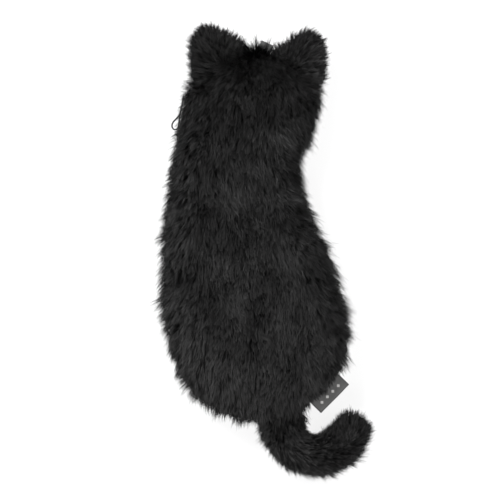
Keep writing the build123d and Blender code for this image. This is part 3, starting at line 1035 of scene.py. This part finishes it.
def makeTailForm():
    bm = bmesh.new()
    ring = bmesh.ops.create_circle(bm, cap_ends=False, segments=24, radius=tail["radius"])["verts"]
    start = tailPlace(tail["start"], 0.0, tail["height"])
    bmesh.ops.rotate(bm, verts=ring, cent=(0, 0, 0), matrix=Matrix.Rotation(radians(90), 3, "X"))
    bmesh.ops.rotate(bm, verts=ring, cent=(0, 0, 0), matrix=Matrix.Rotation(radians(tail["start"]), 3, "Z"))
    bmesh.ops.translate(bm, verts=ring, vec=start)
    spun = bmesh.ops.spin(bm, geom=bm.verts[:] + bm.edges[:], cent=(tail["centre"][0], tail["centre"][1], 0),
                          axis=(0, 0, 1), angle=radians(tail["end"] - tail["start"]), steps=32)["geom_last"]
    # the rounded tip
    middle = tailPlace(tail["end"], 0.0, tail["height"])
    ahead = Vector((-sin(radians(tail["end"])), cos(radians(tail["end"])), 0.0))
    edges = [item for item in spun if isinstance(item, bmesh.types.BMEdge)]
    for turn in (20, 40, 60, 78):
        made = bmesh.ops.extrude_edge_only(bm, edges=edges)["geom"]
        verts = [item for item in made if isinstance(item, bmesh.types.BMVert)]
        edges = [item for item in made if isinstance(item, bmesh.types.BMEdge)]
        for vertex in verts:
            away = vertex.co - middle
            away -= ahead * away.dot(ahead)
            vertex.co = (middle + away.normalized() * tail["radius"] * cos(radians(turn))
                         + ahead * tail["radius"] * sin(radians(turn)))
    bmesh.ops.holes_fill(bm, edges=bm.edges, sides=0)
    bmesh.ops.recalc_face_normals(bm, faces=bm.faces)
    piece = meshObject("tailForm", bm)
    remesh(piece, tail["form"]["voxel"])
    inflate(piece, tail["form"])
    soften(piece, 2)

    def settle(place, normal):
        angle, out = tailSpot(place)
        root = 1 - ease(angle, 172.0, 225.0)
        flat = 1 - (1 - tail["flat"]) * root
        # the root is wider on the inside of the curl
        inward = tail["rootWide"] * (1 - ease(angle, 190.0, 248.0)) * ease(-out, 0.0, tail["edge"])
        bend = ease(angle, 200.0, 235.0) * (1 - ease(angle, 322.0, 340.0))
        inward += tail["innerSwell"] * bend * ease(-out, 0.0, tail["edge"])
        inward += tail["rootSlim"] * (1 - ease(angle, 212.0, 268.0)) * ease(out, 0.0, tail["edge"])
        place = place + (Vector((tail["centre"][0], tail["centre"][1], place.z)) - place).normalized() * inward
        return Vector((place.x, place.y, max(0.0035, tail["height"] + (place.z - tail["height"]) * flat)))

    reshape(piece, settle)
    return piece


def tailStyle(place, normal):
    angle, out = tailSpot(place)
    onward = Vector((-sin(radians(angle)), cos(radians(angle)), 0.0))
    level = Vector((normal.x, normal.y, 0.0))
    sway = noise.noise_vector(place * 45.0) * 0.4
    flow = onward * 0.7 + level * 0.55 + Vector((sway.x, sway.y, -0.1))
    flow.normalize()
    tip = ease(angle, 315.0, 340.0)
    # the pile is rubbed shorter inside the curl
    inside = ease(-out, 0.004, 0.010)
    return flow, (0.93 - 0.1 * tip) * (1 - 0.22 * inside), ease(angle, 158.0, 172.0), 0.2, paintedNapLight(place)


def tailBend(piece):
    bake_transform(piece)


tailForm = makeTailForm()
tailFill = shrunkCopy(tailForm, "tailFilling", 0.0016)
comb(tailForm, tailStyle)
tailUpper = halfOf(tailForm, "tailUpper", tail["height"], True)
tailLower = halfOf(tailForm, "tailLower", tail["height"], False)
tailPile = growPile("tailPile", tailForm, tail["density"], 171)
bpy.data.objects.remove(tailForm)
for piece in (tailFill, tailUpper, tailLower, tailPile):
    tailBend(piece)
dress(tailFill, fibre, None, ["tail_filling"])
dress(tailUpper, blackKnit, None, ["tail_upper", "tail_seam"])
dress(tailLower, blackKnit, None, ["tail_lower"])
print("tail ready")


# zip: tapes, coil rows, and the small metal parts

coil = {"pitch": 0.0013, "wire": 0.00027, "depths": (0.0009, 0.0022), "heights": (-0.00045, 0.0021)}


def makeTape(name, sign, node):
    low, high = zipLine["span"]
    bm = bmesh.new()
    ends = [bm.verts.new(zipPlace(low, zipLine["depth"], sign * height)) for height in (0.0005, 0.007)]
    edge = bm.edges.new(ends)
    bmesh.ops.subdivide_edges(bm, edges=[edge], cuts=4)
    bmesh.ops.spin(bm, geom=bm.verts[:] + bm.edges[:], cent=zipLine["centre"] + (0.0,), axis=(0, 0, 1),
                   angle=-radians(high - low), steps=56)
    piece = meshObject(name, bm)
    thick = piece.modifiers.new("thick", "SOLIDIFY")
    thick.thickness = 0.0005
    thick.offset = 0.0
    applyModifiers(piece)
    return dress(piece, tapeWeave, "torso", [node])


def makeCoil(name, sign, node):
    low, high = zipLine["span"]
    low += 0.17
    high -= 0.17
    turns = int(zipLine["radius"] * radians(high - low) / coil["pitch"])
    step = (high - low) / turns
    shift = 0.0 if sign > 0 else 0.5
    near, far = coil["heights"]
    corners = [(0, near), (0, far), (1, far), (1, near)]
    places = []
    for turn in range(turns):
        for index, (layer, height) in enumerate(corners):
            angle = low + (turn + shift + index / 4) * step
            places.append(zipPlace(min(angle, high), coil["depths"][layer], sign * height))
    curve = bpy.data.curves.new(name + "Line", "CURVE")
    curve.dimensions = "3D"
    spline = curve.splines.new("NURBS")
    spline.points.add(len(places) - 1)
    for point, place in zip(spline.points, places):
        point.co = (*place, 1.0)
    spline.order_u = 3
    spline.use_endpoint_u = True
    curve.resolution_u = 2
    curve.bevel_depth = coil["wire"]
    curve.bevel_resolution = 1
    line = bpy.data.objects.new(name + "Line", curve)
    bpy.context.collection.objects.link(line)
    bpy.context.view_layer.update()
    piece = bpy.data.objects.new(name, bpy.data.meshes.new_from_object(line))
    bpy.context.collection.objects.link(piece)
    bpy.data.objects.remove(line)
    return dress(piece, nylon, "torso", [node])


makeTape("zipTapeUpper", 1, "zip_tape_upper")
makeTape("zipTapeLower", -1, "zip_tape_lower")
makeCoil("zipCoilUpper", 1, "zip_coil_upper")
makeCoil("zipCoilLower", -1, "zip_coil_lower")
for node in ("zip_bottom_stop", "zip_top_stops", "zip_slider", "slider_crown", "zip_pull_tab"):
    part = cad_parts[node]
    part.data.materials.clear()
    part.data.materials.append(enamel)
print("zip ready")


# side label and ribbon tab: folded strips sewn into the seam

sideLabel = {
    "middle": (0.0431, -0.1034), "angle": 45.6, "length": 0.030, "start": -0.0035, "reach": 0.0108,
    "gap": 0.00028, "cloth": 0.00022, "bow": 0.0007, "curl": 0.0005,
    "cloth1": (0.036, 0.0355, 0.035), "cloth2": (0.056, 0.0555, 0.055), "edge": (0.009, 0.009, 0.009),
    "mark": (0.30, 0.295, 0.288), "markSize": 0.0014, "markStep": 0.0058, "threads": 1500.0,
}
ribbonTab = {
    "middle": (-0.0030, 0.1470), "angle": -24.5, "length": 0.010, "start": 0.0, "reach": 0.0085,
    "gap": 0.00045, "cloth": 0.0003, "bow": 0.0, "curl": 0.0002,
    "cloth1": (0.022, 0.022, 0.0225), "cloth2": (0.050, 0.050, 0.0495), "edge": (0.008, 0.008, 0.008),
    "threads": 620.0,
}


def makeStrip(name, strip, away):
    # away is 1 where the strip stands out on its local +Y side, and -1 on the other
    bm = bmesh.new()
    bmesh.ops.create_grid(bm, x_segments=24, y_segments=28, size=0.5)
    for vertex in bm.verts:
        x = vertex.co.x * strip["length"]
        share = abs(vertex.co.y) * 2
        layer = 1 if vertex.co.y > 0 else -1
        fold = strip["gap"] * min(1.0, share * 9) ** 0.5 * layer
        out = strip["start"] + (strip["reach"] - strip["start"]) * (1 - share)
        lift = strip["bow"] * cos(pi * x / strip["length"]) * (1 - share)
        lift += strip["curl"] * sin(2.3 * pi * x / strip["length"] + 0.6) * (1 - share) ** 2
        vertex.co = (x, away * out, fold + lift)
    bmesh.ops.recalc_face_normals(bm, faces=bm.faces)
    bmesh.ops.rotate(bm, verts=bm.verts, cent=(0, 0, 0), matrix=Matrix.Rotation(radians(strip["angle"]), 3, "Z"))
    bmesh.ops.translate(bm, verts=bm.verts, vec=(strip["middle"][0], strip["middle"][1], seamHeight))
    piece = meshObject(name, bm)
    thick = piece.modifiers.new("thick", "SOLIDIFY")
    thick.thickness = strip["cloth"]
    thick.offset = 0.0
    applyModifiers(piece)
    return piece


def makeStripMaterial(name, strip, away, marks):
    material, tree, shader = newMaterial(name, strip["cloth2"], 0.78)
    shader.inputs["Sheen Weight"].default_value = 0.15
    place = localPlace(tree, (strip["middle"][0], strip["middle"][1], seamHeight), strip["angle"])
    split = addNode(tree, "ShaderNodeSeparateXYZ")
    wire(tree, place, split.inputs[0])
    warp = waveNode(tree, place, strip["threads"], "X", 0.2)
    weft = waveNode(tree, place, strip["threads"] * 0.6, "Y", 0.2)
    weave = mathNode(tree, "ADD", timesNode(tree, warp, 0.55), timesNode(tree, weft, 0.45))
    grain = mathNode(tree, "ADD", timesNode(tree, weave, 0.7),
                     timesNode(tree, noiseNode(tree, place, 300.0), 0.4))
    colour = colourRamp(tree, [(0.2, strip["cloth1"]), (0.85, strip["cloth2"])], grain)
    # a darker selvedge along the free edges
    side = mathNode(tree, "SUBTRACT", strip["length"] / 2, mathNode(tree, "ABSOLUTE", split.outputs["X"]))
    end = mathNode(tree, "SUBTRACT", strip["reach"], timesNode(tree, split.outputs["Y"], float(away)))
    rim = addNode(tree, "ShaderNodeMapRange", {
        "From Min": 0.0005, "From Max": 0.0009, "To Min": 1.0, "To Max": 0.0})
    wire(tree, mathNode(tree, "MINIMUM", side, end), rim.inputs["Value"])
    edged = addNode(tree, "ShaderNodeMix", data_type="RGBA")
    wire(tree, rim.outputs["Result"], edged.inputs[0])
    wire(tree, colour, edged.inputs[6])
    edged.inputs[7].default_value = strip["edge"] + (1.0,)
    result = edged.outputs[2]
    if marks:
        # a plain row of small woven diamonds
        step = strip["markStep"]
        across = mathNode(tree, "PINGPONG", mathNode(tree, "ADD", split.outputs["X"], 20 * step), step / 2)
        across = mathNode(tree, "SUBTRACT", step / 2, across)
        up = mathNode(tree, "ABSOLUTE", mathNode(tree, "SUBTRACT",
                      timesNode(tree, split.outputs["Y"], float(away)), strip["reach"] * 0.52))
        spread = mathNode(tree, "ADD", across, up)
        inside = mathNode(tree, "LESS_THAN", spread, strip["markSize"])
        inside = timesNode(tree, inside, mathNode(tree, "GREATER_THAN", side, step * 0.45))
        marked = addNode(tree, "ShaderNodeMix", data_type="RGBA")
        wire(tree, inside, marked.inputs[0])
        wire(tree, result, marked.inputs[6])
        marked.inputs[7].default_value = strip["mark"] + (1.0,)
        result = marked.outputs[2]
    wire(tree, result, shader.inputs["Base Color"])
    addBump(tree, shader, weave, 0.00008, 0.6)
    return material


labelPiece = makeStrip("sideLabel", sideLabel, -1)
labelWeave = makeStripMaterial("labelWeave", sideLabel, -1, True)
dress(labelPiece, labelWeave, "label", ["side_label"])
tabPiece = makeStrip("ribbonTab", ribbonTab, 1)
ribbonRibs = makeStripMaterial("ribbonRibs", ribbonTab, 1, False)
dress(tabPiece, ribbonRibs, "tab", ["top_tab"])
print("label and ribbon ready")
